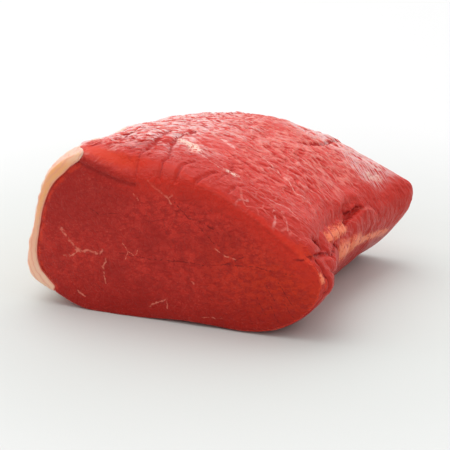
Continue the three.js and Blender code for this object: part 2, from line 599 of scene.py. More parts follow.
class Graph:
    """A tree of nodes, which are added and linked by calls that read as a chain."""

    def __init__(self, tree: bpy.types.NodeTree) -> None:
        """Keeps the tree's nodes and links."""
        self.nodes, self.links = tree.nodes, tree.links

    def feed(self, socket: Socket, value: Input) -> None:
        """Links a socket, or sets it where the value is a constant.

        Args:
            socket: The input.
            value: What it gets.
        """
        value = value.socket if isinstance(value, Field) else value
        if isinstance(value, Socket):
            self.links.new(value, socket)
        elif isinstance(value, tuple) and socket.type == "RGBA":
            socket.default_value = (*value, 1.0)
        else:
            socket.default_value = value

    def add(
        self,
        kind: str,
        inputs: dict[str | int, Input] | tuple[Input, ...] = (),
        **settings: object,
    ) -> bpy.types.Node:
        """Adds a node.

        Args:
            kind: The kind of shader node.
            inputs: What its sockets get, in their order or by name or number.
            settings: The node's properties by name.

        Returns:
            The node.
        """
        node = self.nodes.new(f"ShaderNode{kind}")
        for name, value in settings.items():
            setattr(node, name, value)
        given = inputs if isinstance(inputs, dict) else dict(enumerate(inputs))
        for key, value in given.items():
            self.feed(node.inputs[key], value)
        return node

    def number(
        self,
        kind: str,
        inputs: dict[str | int, Input] | tuple[Input, ...] = (),
        output: str | int = 0,
        **settings: object,
    ) -> Field:
        """Adds a node and gives one of its outputs as a field."""
        return Field(self, self.add(kind, inputs, **settings).outputs[output])

    def math(self, operation: str, *values: Number) -> Field:
        """Adds a Math node and gives its result."""
        return self.number("Math", values, operation=operation)

    def vector(self, operation: str, *values: Input) -> Socket:
        """Adds a Vector Math node and gives its vector."""
        return self.add("VectorMath", values, operation=operation).outputs["Vector"]

    def measure(self, operation: str, *values: Input) -> Field:
        """Adds a Vector Math node and gives its number."""
        return self.number("VectorMath", values, "Value", operation=operation)

    def split(self, vector: Socket) -> list[Field]:
        """Splits a vector into its three numbers."""
        return [Field(self, out) for out in self.add("SeparateXYZ", (vector,)).outputs]

    def join(self, *numbers: Number | Socket) -> Socket:
        """Joins three numbers into a vector."""
        return self.add("CombineXYZ", numbers).outputs[0]


class Shader(Graph):
    """A material and the patterns that it is made of, in millimetres on the object."""

    def __init__(self, name: str) -> None:
        """Starts a material with its surface node and its places.

        Args:
            name: The material's name.
        """
        self.material = bpy.data.materials.new(name)
        self.material.use_nodes = True
        super().__init__(self.material.node_tree)
        self.surface = self.nodes["Principled BSDF"]
        where = self.add("TexCoord").outputs["Object"]
        self.place = self.vector("MULTIPLY", where, (1 / MM,) * 3)
        self.x, self.y, self.z = self.split(self.place)

    def cover(self, inputs: dict[str, Input]) -> bpy.types.Material:
        """Gives the surface its inputs.

        Args:
            inputs: What the surface's sockets get, by name.

        Returns:
            The finished material.
        """
        for name, value in inputs.items():
            self.feed(self.surface.inputs[name], value)
        return self.material

    def value(self, attribute: str) -> Field:
        """Reads a number that the mesh keeps for each vertex."""
        return self.number("Attribute", (), "Fac", attribute_name=attribute)

    def scaled(self, size: float | Size, where: Socket | None) -> Socket:
        """Divides places, or the object's own, by one size or by one along each axis."""
        sizes = size if isinstance(size, tuple) else (size,) * 3
        return self.vector("DIVIDE", where or self.place, sizes)

    def noise(
        self,
        size: float | Size,
        detail: float = 2.0,
        where: Socket | None = None,
        roughness: float = 0.5,
    ) -> Field:
        """Adds soft noise.

        Args:
            size: The length of its waves, or that along each axis.
            detail: How many finer layers it has.
            where: The places to use, or none for the object's own.
            roughness: How strong the finer layers are.

        Returns:
            The noise, about 0.5 on average.
        """
        look = {"Scale": 1.0, "Detail": detail, "Roughness": roughness}
        return self.number("TexNoise", {"Vector": self.scaled(size, where), **look})

    def cells(self, size: float | Size, where: Socket) -> Field:
        """Adds cells and gives the distance to the nearest edge, in cell sizes."""
        inputs = {"Vector": self.scaled(size, where), "Scale": 1.0}
        return self.number("TexVoronoi", inputs, feature="DISTANCE_TO_EDGE")

    def threads(self, size: Size, where: Socket, width: float) -> Field:
        """Shows thin lines, by 1, where soft noise is within a width of its middle value."""
        offset = self.noise(size, 1.0, where) - 0.5
        return abs(offset).rise(width, 0.25 * width)

    def wander(self, size: float, reach: float, where: Socket | None = None) -> Socket:
        """Moves places about.

        Args:
            size: The length of the waves that they move in.
            reach: How far they move at most.
            where: The places to move, or none for the object's own.

        Returns:
            The moved places.
        """
        inputs = {"Vector": self.scaled(size, where), "Scale": 1.0, "Detail": 1.0}
        shares = self.add("SeparateColor", (self.add("TexNoise", inputs).outputs["Color"],))
        shift = self.vector("SUBTRACT", self.join(*list(shares.outputs)[:3]), (0.5,) * 3)
        moved = self.vector("MULTIPLY", shift, (2.0 * reach,) * 3)
        return self.vector("ADD", where or self.place, moved)

    def bumps(self, height: Field, strength: float) -> Socket:
        """Makes bumps from a height in millimetres."""
        inputs = {"Strength": strength, "Distance": MM, "Height": height}
        return self.add("Bump", inputs).outputs["Normal"]

    def traced(
        self,
        traces: tuple[Trace, ...],
        side: Side,
        where: Socket,
        ragged: Field,
        core: float = 1.0,
    ) -> Field:
        """Shows where lines run.

        Args:
            traces: The lines.
            side: The side that they are drawn on.
            where: The places to use.
            ragged: Added to each distance, in millimetres.
            core: The share of each line's width that shows.

        Returns:
            1 in the middle of a line, falling to 0 at its edges.
        """
        parts = self.split(where)
        flat = self.join(*(parts[axis] for axis in side.value), 0.0)

        def show(trace: Trace) -> Field:
            """Shows where one line runs.

            Args:
                trace: The line.

            Returns:
                Its share.
            """
            ends = zip(trace.places, trace.places[1:])
            nearest = reduce(and_, (self.span(flat, start, end) for start, end in ends))
            half = core * trace.width / 2
            return (nearest + ragged).rise(half * 1.3, half * 0.3, trace.shade)

        return reduce(or_, (show(trace) for trace in traces))

    def span(self, flat: Socket, start: Place, end: Place) -> Field:
        """Measures the distance from a flat place to one straight stretch."""
        inputs = {"Place": flat, "Start": (*start, 0.0), "End": (*end, 0.0)}
        return self.number("Group", inputs, node_tree=span_group())


def span_group() -> bpy.types.NodeTree:
    """Makes, once, the group of nodes for the distance to a straight stretch.

    Returns:
        A group that takes a place, a start and an end, and gives the distance.
    """
    name = "distance to a straight stretch"
    if name in bpy.data.node_groups:
        return bpy.data.node_groups[name]
    tree = bpy.data.node_groups.new(name, "ShaderNodeTree")
    for label in ("Place", "Start", "End"):
        tree.interface.new_socket(label, in_out="INPUT", socket_type="NodeSocketVector")
    tree.interface.new_socket("Distance", in_out="OUTPUT", socket_type="NodeSocketFloat")
    place, start, end = list(tree.nodes.new("NodeGroupInput").outputs)[:3]
    distance = tree.nodes.new("NodeGroupOutput").inputs[0]
    graph = Graph(tree)
    along = graph.vector("SUBTRACT", end, start)
    offset = graph.vector("SUBTRACT", place, start)
    share = graph.measure("DOT_PRODUCT", offset, along) / graph.measure("DOT_PRODUCT", along, along)
    share = share & 1.0 | 0.0
    step = graph.add("VectorMath", {0: along, "Scale": share}, operation="SCALE").outputs[0]
    graph.feed(distance, graph.measure("LENGTH", graph.vector("SUBTRACT", offset, step)))
    return tree


# ---------------------------------------------------------------- finishes


@dataclass(frozen=True)
class LeanFinish:
    """Moist raw muscle: deep red on the cuts, brighter and creased on the outside, with painted
    glow, highlights, sheen and shade.
    """

    cut_dark: Colour = (0.40, 0.018, 0.012)
    cut_light: Colour = (0.60, 0.032, 0.020)
    cut_warm: Colour = (0.60, 0.031, 0.006)
    # Dark red for the seams of the bundles and for strokes, and painted shade low on the cut.
    cut_seam_and_low_shade: Colour = (0.36, 0.007, 0.004)
    fleck: Colour = (0.70, 0.10, 0.07)
    outside: Colour = (0.64, 0.045, 0.032)
    # crest: pale pink for light veins, and a painted highlight on ridges, fibre lines and fold
    # edges; valley: painted shade in folds and low on the flank.
    crest: Colour = (0.74, 0.165, 0.132)
    valley: Colour = (0.46, 0.013, 0.010)
    # lip and dull_lip: painted glow, orange-red as if light shone through the thin edges of the cut
    # (lip also tints the rim beside the fat); under_lip: painted shade on the lip's lower side.
    lip: Colour = (0.72, 0.047, 0.015)
    crack: Colour = (0.17, 0.003, 0.002)
    # Painted shade for the creases of the cuts and the flank.
    crease_shade: Colour = (0.26, 0.004, 0.003)
    dull_lip: Colour = (0.63, 0.026, 0.011)
    under_lip: Colour = (0.48, 0.022, 0.010)
    # Painted shade for the creases of the top.
    fold: Colour = (0.40, 0.012, 0.008)
    strand: Colour = (0.80, 0.36, 0.32)
    front: Colour = (0.53, 0.030, 0.020)
    marbling: Colour = (0.72, 0.19, 0.13)
    # A pale membrane colour, also used for the painted sheen.
    membrane_and_sheen: Colour = (0.84, 0.58, 0.57)
    fat: Colour = (0.96, 0.27, 0.145)
    curd: Colour = (0.92, 0.66, 0.55)

    def make(self) -> bpy.types.Material:
        """Builds the material.

        Returns:
            The finished material.
        """
        shader = Shader("raw_lean_beef")
        x, y, z = shader.x, shader.y, shader.z
        skin, lip = shader.value("skin"), shader.value("lip")
        by_fat = shader.value("by_fat")
        ragged = shader.noise(1.2) * 2.2 - 1.1
        cut, cut_height = self.cut_look(shader, ragged, by_fat)
        outside, outside_height = self.outside_look(shader, ragged, by_fat)
        colour = skin.blend(cut, outside)
        # Painted glow: a band of the cut below its upper edge is painted brighter, as if lit
        # through the thin meat.
        glow = shader.value("glow") * (1 - skin) * 0.7
        colour = glow.blend(colour, self.dull_lip)
        # The lip is painted as a glowing orange-red, brighter on the left, with painted shade on
        # its lower side.
        lip_colour = x.rise(-42, -12).blend(self.lip, self.dull_lip)
        lip_colour = shader.value("under_lip").blend(lip_colour, self.under_lip)
        uneven = shader.noise((4, 2, 3)) * 1.4 - 0.7
        colour = (lip + uneven).rise(0, 0.9, 0.9).blend(colour, lip_colour)
        colour, creased = self.crease(shader, colour, ragged, skin)
        # Painted glow along the cut's right edge, in the lip's orange-red.
        rim_glow = skin.rise(0, 0.35) * x.rise(20, 50, 0.8) * skin.rise(1, 0.6) * z.rise(60, 45)
        colour = rim_glow.blend(colour, self.lip)
        flat_cut = cut_height * (1 - skin)
        rough_skin = outside_height * (skin * (1 - lip))
        normal = shader.bumps(flat_cut + rough_skin, 0.9)
        right = y.rise(0, -50) * x.rise(-40, 0) | x.rise(54, 72)
        dull = creased | right * 0.7
        gloss = skin * shader.value("crest").rise(-0.3, 0.5, 0.6) * (1 - lip) * (1 - dull)
        return shader.cover({
            "Base Color": colour,
            "Normal": normal,
            "Roughness": shader.noise(4, 3) * 0.3 + 0.25,
            "Specular IOR Level": 0.2,
            "Coat Weight": gloss,
            "Coat Roughness": 0.2,
            "Subsurface Weight": 0.3,
            "Subsurface Radius": (1.0, 0.2, 0.12),
            "Subsurface Scale": 2.5 * MM,
        })

    def crease(
        self, shader: Shader, colour: Socket, ragged: Field, skin: Field
    ) -> tuple[Socket, Field]:
        """Paints shade into the creases that the mesh is pressed in along.

        Args:
            shader: The material that is being made.
            colour: The colour without them.
            ragged: Makes the edges of lines uneven, in millimetres.
            skin: 1 on the outside and 0 on the cuts.

        Returns:
            The colour with the creases, and 1 in the creases of the top.
        """
        where = shader.wander(4, 0.9)
        uneven = ragged * 0.3
        # Each crease is painted dark as shade along its line.
        areas = (
            (TOP_CREASES, Side.TOP, shader.z.rise(*TOP_FROM) * skin, 1.0, self.fold),
            (CUT_CREASES, Side.CUT, shader.y.rise(-58, -64), 0.4, self.crease_shade),
            (FLANK_CREASES, Side.FLANK, shader.x.rise(63, 69), 0.9, self.crease_shade),
        )
        shares = []
        for lines, side, area, strength, dark in areas:
            shares.append(shader.traced(lines, side, where, uneven, 0.9) * area * strength)
            colour = shares[-1].blend(colour, dark)
        return colour, shares[0]

    def cut_look(self, shader: Shader, ragged: Field, by_fat: Field) -> tuple[Socket, Field]:
        """Colours the cuts, with their bundles of muscle, marbling and cracks, and painted shade
        near the bottom.

        Args:
            shader: The material that is being made.
            ragged: Makes the edges of lines uneven, in millimetres.
            by_fat: 1 beside the fat, falling to 0 away from it.

        Returns:
            The colour and the height in millimetres.
        """
        x, y, z = shader.x, shader.y, shader.z
        # The back cut shows another stretch of the same pattern, turned round.
        front = y.rise(1, -1)
        back_x, back_z = x * -0.85 + 10, z * 0.8 + 9
        across, up = back_x + front * (x - back_x), back_z + front * (z - back_z)
        where = shader.wander(4, 0.9, shader.join(across, y, up))

        mottle = shader.noise(19, 4, roughness=0.62)
        fine = shader.noise(1)
        bundles = shader.cells(3.2, shader.wander(2.5, 0.9))
        colour = mottle.rise(0.26, 0.62).blend(self.cut_dark, self.cut_light)
        dull = across.rise(-10, -50, 0.85) * up.rise(30, 60)
        colour = dull.blend(colour, self.cut_dark)
        warm = x.rise(-10, 60, 0.9) * z.rise(70, 30)
        colour = warm.blend(colour, self.cut_warm)
        # Painted shade: the cut is darker towards the bottom, where it curves under towards the
        # floor.
        colour = up.rise(34, 0, 0.8).blend(colour, self.cut_seam_and_low_shade)
        colour = by_fat.rise(0.88, 1, 0.6).blend(colour, self.lip)
        fleck = fine.rise(0.54, 0.72, 0.4) * mottle.rise(0.35, 0.6)
        colour = fleck.blend(colour, self.fleck)
        blotch = shader.noise((4.5, 4.5, 3.5), 3, roughness=0.6)
        colour = blotch.rise(0.48, 0.64, 0.65).blend(colour, self.cut_dark)
        seam = bundles.rise(0.16, 0, 0.3) * blotch.rise(0.35, 0.55)
        colour = seam.blend(colour, self.cut_seam_and_low_shade)
        strokes = shader.threads((6, 6, 2.4), shader.wander(5, 2), 0.1) * 0.4
        colour = (strokes * blotch.rise(0.4, 0.5)).blend(colour, self.cut_seam_and_low_shade)
        web = shader.cells((7, 7, 6), shader.wander(5, 2))
        worn = across.rise(-45, -20) * across.rise(45, 20) * up.rise(40, 52) * up.rise(80, 72)
        broken = shader.noise(4, 1).rise(0.45, 0.62)
        split = web.rise(0.05, 0, 0.4) * worn * broken
        colour = split.blend(colour, self.crack)

        marbling = shader.traced(MARBLING, Side.CUT, where, ragged * 0.7)
        beads = shader.noise(2.2).rise(0.3, 0.62, 0.95)
        colour = (marbling * beads).blend(colour, self.marbling)
        dashes = shader.noise(1.7, 1).rise(0.38, 0.56)
        cracks = shader.traced(FINE_CRACKS, Side.CUT, where, ragged * 0.5) * dashes
        colour = (cracks * 0.75).blend(colour, self.crack)
        height = bundles.rise(0, 0.22) * 0.22 + fine * 0.12 + shader.noise(2.6) * 0.45
        return colour, height + split * -0.3

    def outside_look(self, shader: Shader, ragged: Field, by_fat: Field) -> tuple[Socket, Field]:
        """Colours the outside, with its pleats, membrane and patches of fat, and painted
        highlights, sheen and shade.

        Args:
            shader: The material that is being made.
            ragged: Makes the edges of lines uneven, in millimetres.
            by_fat: 1 beside the fat, falling to 0 away from it.

        Returns:
            The colour and the height in millimetres.
        """
        x, y, z = shader.x, shader.y, shader.z
        crest = shader.value("crest")
        where = shader.wander(5, 1.2)
        top, right = z.rise(*TOP_FROM), x.rise(55, 64)
        mottle = shader.noise((14, 9, 14), 3)
        along = ((x - SLANT_FROM) & 0.0) * -SLANT + y
        bent = shader.wander(9, 2.2, shader.join(x, along, z))
        worn = shader.noise((6, 4, 6)).rise(0.36, 0.56)
        coarse = shader.threads((11, 3.8, 11), bent, 0.1)
        fine = shader.threads((7, 2, 7), bent, 0.11)
        smooth = self.near_place(shader, 2, -17, 13)
        fibres = (coarse | fine * 0.8) * worn * (1 - smooth * 0.8)

        brink, low = y.rise(-26, -56) * x.rise(-40, -14), x.rise(60, 76)
        deep = brink * 0.9 | low * 0.7
        # Painted shade in the wrinkles' valleys, and a painted highlight on their crests and fibre
        # lines, strongest towards the back left where the light falls.
        colour = crest.rise(-0.8, 0.2).blend(self.valley, self.outside)
        colour = deep.blend(colour, self.front)
        lit_from_back_left = (x * -0.6 + y).rise(-75, 10)
        proud = crest * 0.7 + fibres * 1.7 + mottle + lit_from_back_left * 1.1 + deep * -0.8 + low * -1
        colour = proud.rise(1.4, 3.2, 0.95).blend(colour, self.crest)

        # Pale veins in a net near the front right, and pale fold edges and ribs on the flank
        # painted as highlights.
        rims = shader.traced(FLANK_EDGES, Side.FLANK, where, ragged * 0.5)
        net = shader.cells((11, 6, 11), bent).rise(0.08, 0, 0.6) * y.rise(-10, -35)
        net = net * x.rise(14, 34) * (1 - low) * worn
        colour = (net | rims * right * 0.4).blend(colour, self.crest)
        beads = shader.noise(3).rise(0.3, 0.6, 0.85)
        streaks = shader.traced(SILVER_STREAKS, Side.TOP, where, ragged * 0.45) * top * beads
        colour = streaks.blend(colour, self.strand)

        # Painted sheen: whitish streaks stand for the wet film reflecting the bright sky, over the
        # left shoulder, along the back edge and in bands at the far right.
        left, far = (x + mottle * 60).rise(50, -5), (y + mottle * 40).rise(-45, -13)
        streak_noise = shader.noise((9, 2.2, 9), 2, shader.wander(16, 5, bent))
        sheen = left * far * top * (fibres * 0.2 + streak_noise).rise(0.48, 0.72)
        edge = y.rise(44, 58) * x.rise(8, 26) * top * streak_noise.rise(0.36, 0.6, 0.8)
        sheen_bands = shader.threads((14, 2.4, 14), shader.join(x, x * 0.65 + y, 0.0), 0.11)
        sheen_bands = sheen_bands * self.near_place(shader, 66, 56, 17) * 0.6
        colour = (sheen_bands | edge | sheen * 0.92).blend(colour, self.membrane_and_sheen)

        broken = ragged * 2.6
        crumbs = shader.noise(1.5).rise(0.34, 0.52)
        white = shader.traced(TOP_FAT, Side.TOP, where, broken) * top * crumbs * 0.9
        colour = white.blend(colour, self.curd)
        lumps = shader.noise(3.5).rise(0.26, 0.46)
        yellow = shader.traced(FLANK_FAT, Side.FLANK, where, broken) * right * lumps * 0.95
        colour = yellow.blend(colour, self.fat)
        veil = (by_fat + streak_noise * 1.3).rise(1, 1.45, 0.8) * y.rise(-70, -58)
        colour = veil.blend(colour, self.membrane_and_sheen)
        # Painted shade: darker red low on the flank, under its overhang.
        underside_shade = z.rise(25, 15) * right * 0.8
        colour = underside_shade.blend(colour, self.valley)
        return colour, fibres * 0.4 + shader.noise((1.8, 1, 1.8), 2, bent) * 0.3

    def near_place(self, shader: Shader, x: float, y: float, reach: float) -> Field:
        """Shows an area round a place on the top.

        Args:
            shader: The material that is being made.
            x: The place across the joint.
            y: The place along the joint.
            reach: How far the area goes.

        Returns:
            1 at the place, falling to 0 at its reach.
        """
        aside, ahead = (shader.x - x) / reach, (shader.y - y) / reach
        return (aside * aside + ahead * ahead).rise(1, 0.3)


@dataclass(frozen=True)
class FatFinish:
    """Moist raw fat: cream with warm layers, a pink membrane on its outside, and painted light low
    on its cut.
    """

    inner: Colour = (0.90, 0.47, 0.30)
    outer: Colour = (0.90, 0.42, 0.17)
    line: Colour = (0.84, 0.34, 0.22)
    # Pale cream, also used as painted light low on the cut.
    pale: Colour = (0.96, 0.58, 0.40)
    membrane: Colour = (0.80, 0.55, 0.44)
    rosy: Colour = (0.90, 0.56, 0.45)
    blush: Colour = (0.74, 0.22, 0.15)
    bed: Colour = (0.62, 0.06, 0.035)

    def make(self) -> bpy.types.Material:
        """Builds the material.

        Returns:
            The finished material.
        """
        shader = Shader("raw_beef_fat")
        y, z = shader.y, shader.z
        skin, above, brow = (shader.value(name) for name in ("skin", "above_bed", "brow"))
        wavy = above + shader.noise(7) * 2.4
        # Painted light: the cut is paler towards the bottom, lifting the shade that falls there.
        cut = z.rise(42, 16).blend(self.inner, self.pale)
        cut = (z.rise(40, 66) * wavy.rise(0.5, 3.5)).blend(cut, self.outer)
        cut = z.rise(82, 89, 0.75).blend(cut, self.pale)
        layers = shader.noise(5, 1, shader.join(0.0, 0.0, z))
        seams = abs(shader.math("SINE", (layers * 3 + above) * 1.2))
        cut = seams.rise(0.7, 0.1, 0.6).blend(cut, self.line)

        mottle = shader.noise((11, 16, 11), 4, roughness=0.6)
        outside = mottle.rise(0.3, 0.65).blend(self.inner, self.membrane)
        blush = shader.noise(6, 3).rise(0.55, 0.72, 0.6) * mottle.rise(0.6, 0.45)
        outside = blush.blend(outside, self.blush)
        outside = (brow * 0.8).blend(outside, self.rosy)
        specks = shader.noise((1.8, 3, 1.8)).rise(0.58, 0.7, 0.8)
        outside = (specks * brow).blend(outside, self.blush)

        bed = above.rise(1.1, 0.5) * abs(y).rise(66, 70) * z.rise(88, 82)
        height = shader.noise(2.5, 3) * 0.5 + shader.cells(3, shader.wander(3, 1)) * 0.3
        return shader.cover({
            "Base Color": bed.blend(skin.blend(cut, outside), self.bed),
            "Normal": shader.bumps(height, 0.7),
            "Roughness": shader.noise(6, 3) * 0.3 + 0.27,
            "Coat Weight": (1 - bed) * 0.2,
            "Coat Roughness": 0.3,
            "Subsurface Weight": 0.4,
            "Subsurface Radius": (1.0, 0.5, 0.3),
            "Subsurface Scale": 3.5 * MM,
        })


@dataclass(frozen=True)
class FloorFinish:
    """A plain pale matt floor, painted darker near the joint and lighter away from it as painted
    shade and light.
    """

    near: Colour = (0.61, 0.63, 0.61)
    far: Colour = (0.74, 0.74, 0.74)

    def make(self) -> bpy.types.Material:
        """Builds the material.

        Returns:
            The finished material.
        """
        shader = Shader("pale_floor")
        cloud = shader.noise(160)
        # Painted shade near the joint, fading to painted light away from it.
        away = (cloud * 60 + shader.measure("LENGTH", shader.place)).rise(130, 420)
        return shader.cover({
            "Base Color": away.blend(self.near, self.far),
            "Normal": shader.bumps(shader.noise(0.8, 1), 0.05),
            "Roughness": cloud * 0.2 + 0.65,
        })


# ---------------------------------------------------------------- the joint


@dataclass
class JointPiece:
    """A piece of the joint, which takes the place of a solid.

    Its mesh has cells of a width, shorter along the joint where it is stretched, and is
    smoothed a number of times and grown a little before its relief goes on.
    """

    node: str
    name: str
    slot: str
    finish: LeanFinish | FatFinish
    half_length: float
    voxel: float
    stretch: float
    smoothing: int
    growth: float
    relief: tuple[Relief, ...]

    def build(self) -> Piece:
        """Builds the piece and puts it in the frame.

        Returns:
            The finished object.
        """
        piece = copy_solid(self.node, self.name)
        stretch_along(piece, self.stretch)
        apply_modifier(piece, "REMESH", mode="VOXEL", voxel_size=self.voxel * MM)
        stretch_along(piece, 1.0 / self.stretch)
        apply_modifier(piece, "SMOOTH", factor=0.5, iterations=self.smoothing)
        apply_modifier(piece, "DISPLACE", strength=self.growth * MM, mid_level=0.0)
        self.shape(piece)
        bpy.ops.object.shade_smooth()
        piece.data.materials.append(self.finish.make())
        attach(piece, "root")
        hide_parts(self.node)
        return piece

    def shape(self, piece: Piece) -> None:
        """Shapes the smooth mesh, in each kind of piece's own way."""
        raise NotImplementedError


@dataclass
class LeanMuscle(JointPiece):
    """The lean: a domed block with a flat cut at each end and a seam on its right."""

    node: str = "lean"
    name: str = "lean_muscle"
    slot: str = "lean_meat"
    finish: LeanFinish = LeanFinish()
    half_length: float = 72.0
    voxel: float = 0.84
    stretch: float = 1.7
    smoothing: int = 6
    growth: float = 0.3
    relief: tuple[Relief, ...] = (
        Relief("swell", Roll.WAVES, (28, 24, 28), 2.8, Area.OUTSIDE, 2, 7.0),
        Relief("dimples", Roll.WAVES, (8, 5, 8), 0.9, Area.OUTSIDE, 2, 5.0),
        Relief("sag", Roll.WAVES, (16, 16, 16), 1.2, Area.CUTS, 2, 23.0),
        Relief("bundles", Roll.WAVES, (3.4, 3.4, 3.4), 0.35, Area.CUTS, 1, 2.0),
    )
    wrinkles: tuple[Wrinkles, ...] = (
        Wrinkles(34.0, 9.0, 0.8, 5.0, 3.0, Area.SHOULDER, lengthwise=True),
        Wrinkles(18.0, 3.6, 0.6, 5.0, 41.0, Area.SHOULDER, crested=True),
        Wrinkles(12.0, 4.0, 0.9, 5.0, 11.0),
        Wrinkles(9.0, 2.8, 0.6, 4.0, 19.0, crested=True),
    )
    into_seam: Size = (0.75, 0.0, 0.66)
    lip_smoothing: int = 60
    faces: int = 194_000

    def shape(self, piece: Piece) -> None:
        """Gives the smooth mesh its relief, lips, lumps, wrinkles and creases.

        Args:
            piece: The smooth mesh.
        """
        shares = self.mark_areas(piece)
        for layer in self.relief:
            layer.carve(piece)
        self.roll_lips(piece)
        apply_modifier(
            piece, "SMOOTH", factor=0.5, iterations=self.lip_smoothing, vertex_group=Area.LIP.value
        )
        self.raise_lumps(piece)
        plain = BVHTree.FromObject(piece, bpy.context.evaluated_depsgraph_get())
        self.fold(piece, shares)
        self.press_lines(piece)
        apply_modifier(piece, "TRIANGULATE")
        apply_modifier(piece, "DECIMATE", ratio=min(1.0, self.faces / len(piece.data.polygons)))
        self.keep_values(piece, plain)

    def mark_areas(self, piece: Piece) -> dict[Area, Array]:
        """Tells where relief goes, and keeps it as vertex groups as well.

        Args:
            piece: The smooth mesh.

        Returns:
            A share from 0 to 1 for each vertex in each area.
        """
        places, normals = read_mesh(piece)
        x, y, z = places.T
        cut = on_cuts(normals)
        above = smooth_step(normals[:, 2], -0.75, -0.3)
        off_fat = np.where(z > 88.0, 1.0, smooth_step(x, -64.0, -54.0))
        inward = self.half_length - np.abs(y)
        bare = np.interp(x, (-40, -14, -4, 6, 62), (4.0, 6.0, 8.0, 3.5, 3.0))
        outside = (1.0 - cut) * above * off_fat * smooth_step(inward / bare, 0.1, 1.0)
        lip = smooth_step(inward, 9.0, 3.0) * smooth_step(x, 20.0, 0.0)
        lip *= smooth_step(np.where(y < 0.0, FRONT_LIP.above(places), 0.0), 0.5, 3.0)
        shoulder = outside * smooth_step(x, 14.0, -16.0)
        shares = {Area.OUTSIDE: outside, Area.SHOULDER: shoulder, Area.CUTS: cut, Area.LIP: lip}
        for area, share in shares.items():
            keep_group(piece, area, share)
        return shares

    def roll_lips(self, piece: Piece) -> None:
        """Rolls the upper edge of each cut back into a rounded lip.

        Args:
            piece: The mesh, with its relief.
        """
        places, _ = read_mesh(piece)
        x, y, z = places.T
        for lip in (FRONT_LIP, BACK_LIP):
            inward = self.half_length - y * lip.end
            above = lip.above(places)
            back = lip.roll * np.clip(above / 9.0, 0.0, 1.2) ** 1.7
            bulge = 0.8 * np.sin(np.pi * np.clip(above / 6.0, 0.0, 1.0))
            bulge *= 0.3 + 0.7 * smooth_step(x, -5.0, -35.0)
            near = smooth_step(inward, 24.0, 1.0)
            y += lip.end * near * (bulge * smooth_step(inward, 8.0, 2.0) - back)
        lifted = bell(x - 6.0, 24.0) * smooth_step(y, -52.0, -70.0)
        z += 2.2 * lifted * smooth_step(z, 9.0, 0.0)
        move_vertices(piece, places)

    def raise_lumps(self, piece: Piece) -> None:
        """Raises the lumps on the flank and closes the seam.

        Args:
            piece: The mesh, with its lips.
        """
        places, normals = read_mesh(piece)
        lumps = np.zeros(len(places))
        for lump in FLANK_LUMPS:
            reach = np.linalg.norm(places[:, Side.FLANK.value] - lump.place, axis=1)
            dome = np.clip(1.0 - (reach / lump.reach) ** 2, 0.0, 1.0) ** 0.7
            lumps = np.maximum(lumps, lump.height * dome)
        lumps *= self.sides(places, normals)[Side.FLANK]
        closed = press(places, SEAM_FILL, Side.FLANK, smooth_step(places[:, 0], 50.0, 57.0))
        places -= closed[:, None] * np.array(self.into_seam)
        move_vertices(piece, places + normals * lumps[:, None])

    def fold(self, piece: Piece, shares: dict[Area, Array]) -> None:
        """Folds the outside into wrinkles.

        Args:
            piece: The mesh, with the vertices that the shares were found for.
            shares: How far each vertex belongs to each area.
        """
        places, normals = read_mesh(piece)
        calm = 0.75 + 0.25 * smooth_step(places[:, 1] + self.half_length, 8.0, 34.0)
        calm *= 1.0 - 0.45 * smooth_step(places[:, 0], 45.0, 62.0)
        calm *= 0.8 + 0.6 * noise_at(places, (26.0,) * 3, 71.0)
        for wrinkles in self.wrinkles:
            rise = wrinkles.rise(places) * shares[wrinkles.area] * calm
            places += normals * rise[:, None]
        move_vertices(piece, places)

    def press_lines(self, piece: Piece) -> None:
        """Presses the creases in.

        Args:
            piece: The mesh, with its wrinkles.
        """
        places, normals = read_mesh(piece)
        sides = self.sides(places, normals)
        lines = ((CUT_CREASES, Side.CUT), (TOP_CREASES, Side.TOP), (FLANK_CREASES, Side.FLANK))
        depths = [press(places, traces, side, sides[side]) for traces, side in lines]
        places -= normals * reduce(np.maximum, depths)[:, None]
        places[:, 2] = np.maximum(places[:, 2], 0.0)
        move_vertices(piece, places)

    def sides(self, places: Array, normals: Array) -> dict[Side, Array]:
        """Tells which vertices are on the front cut, the top and the flank.

        Args:
            places: The places of the vertices.
            normals: Their normals.

        Returns:
            A share from 0 to 1 of each vertex for each side.
        """
        front = smooth_step(-normals[:, 1], 0.4, 0.8)
        top = smooth_step(normals[:, 2], 0.1, 0.4) * smooth_step(places[:, 2], *TOP_FROM)
        flank = smooth_step(normals[:, 0], 0.1, 0.45) * smooth_step(places[:, 0], 60.0, 67.0)
        return {Side.CUT: front, Side.TOP: top, Side.FLANK: flank * (1.0 - front)}

    def keep_values(self, piece: Piece, plain: BVHTree) -> None:
        """Keeps what the finish reads at each vertex.

        Args:
            piece: The finished mesh.
            plain: The surface before its wrinkles.
        """
        places, _ = read_mesh(piece)
        crest, facing = np.zeros((2, len(places)))
        for index, place in enumerate(places):
            spot = Vector(place * MM)
            nearest, normal, _, _ = plain.find_nearest(spot)
            crest[index] = (spot - nearest).dot(normal) / MM
            facing[index] = abs(normal.y)
        x, y, _ = places.T
        inward = self.half_length - np.abs(y)
        line = np.where(y < 0.0, FRONT_LIP.above(places), BACK_LIP.above(places))
        left = smooth_step(x, 10.0, -10.0)
        tip = smooth_step(x, -14.0, -44.0)
        height = line / (3.0 + 6.0 * left)
        lip = smooth_step(height, 0.1, 1.2) * smooth_step(inward - 5.0 * left, 4.8, 0.8)
        values = {
            "crest": crest,
            "skin": smooth_step(facing, 0.93, 0.7),
            "by_fat": bell(gaps_to("fat_cap", places), 7.0),
            "lip": lip,
            "under_lip": smooth_step(height - 0.4 * (1.0 - tip), 0.9, 0.2),
            "glow": smooth_step(line, -12.0, 0.0) * (1.0 - tip),
        }
        for name, numbers in values.items():
            keep_value(piece, name, numbers)


